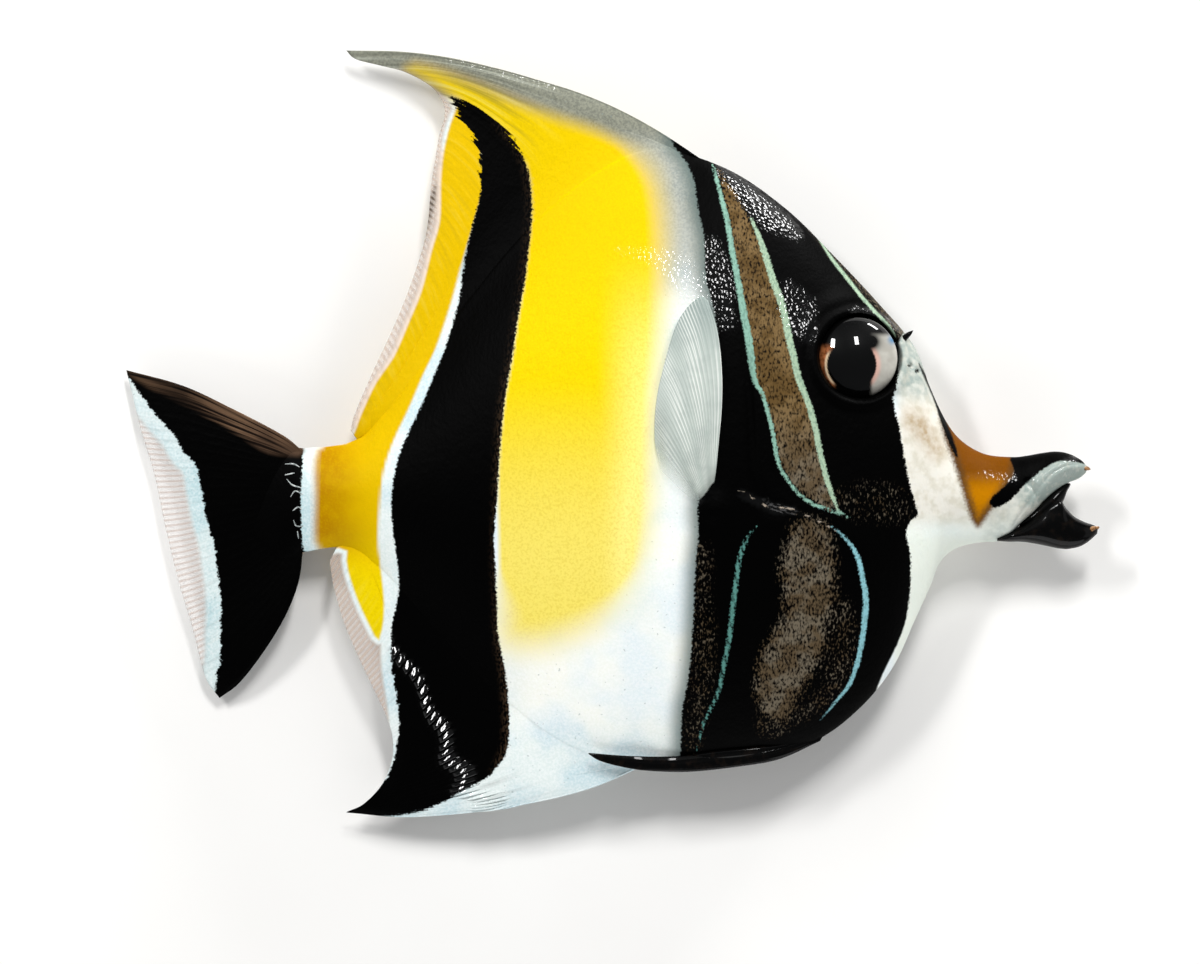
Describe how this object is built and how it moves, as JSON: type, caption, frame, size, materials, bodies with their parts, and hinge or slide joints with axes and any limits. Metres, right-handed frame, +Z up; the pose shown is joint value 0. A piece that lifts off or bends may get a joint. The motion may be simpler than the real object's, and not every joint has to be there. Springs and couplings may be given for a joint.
{
  "type": "moorish idol",
  "caption": "Life-size still model of a moorish idol, a disc-shaped striped reef fish, lying on its left flank with its fins spread and its mouth open.",
  "frame": {"origin": "on the floor, under the middle of the bounding box of the outline", "axes": "+X to the head, +Y to the dorsal side, +Z up, out of the fish's right flank"},
  "size_m": [0.0977, 0.0772, 0.0151],
  "materials": {
    "skin": "wet scaly skin with black, yellow and white bands",
    "eye": "clear wet cornea over a dark iris",
    "dorsal_membrane": "thin wet membrane, yellow with a clear margin",
    "anal_membrane": "thin wet membrane, black with a blue-white edge",
    "caudal_membrane": "thin wet membrane, black with a clear margin",
    "pectoral_membrane": "thin translucent grey-white membrane",
    "pelvic_membrane": "thin wet black membrane"
  },
  "bodies": {
    "root": {"head": "skin", "snout": "skin", "torso": "skin", "tail_peduncle": "skin", "upper_jaw": "skin", "lower_jaw": "skin", "eye_right": "eye", "eye_left": "eye", "dorsal_fin": "dorsal_membrane", "anal_fin": "anal_membrane", "caudal_fin": "caudal_membrane", "pectoral_fin_right": "pectoral_membrane", "pectoral_fin_left": "pectoral_membrane", "pelvic_fin_right": "pelvic_membrane", "pelvic_fin_left": "pelvic_membrane"}
  },
  "joints": []
}
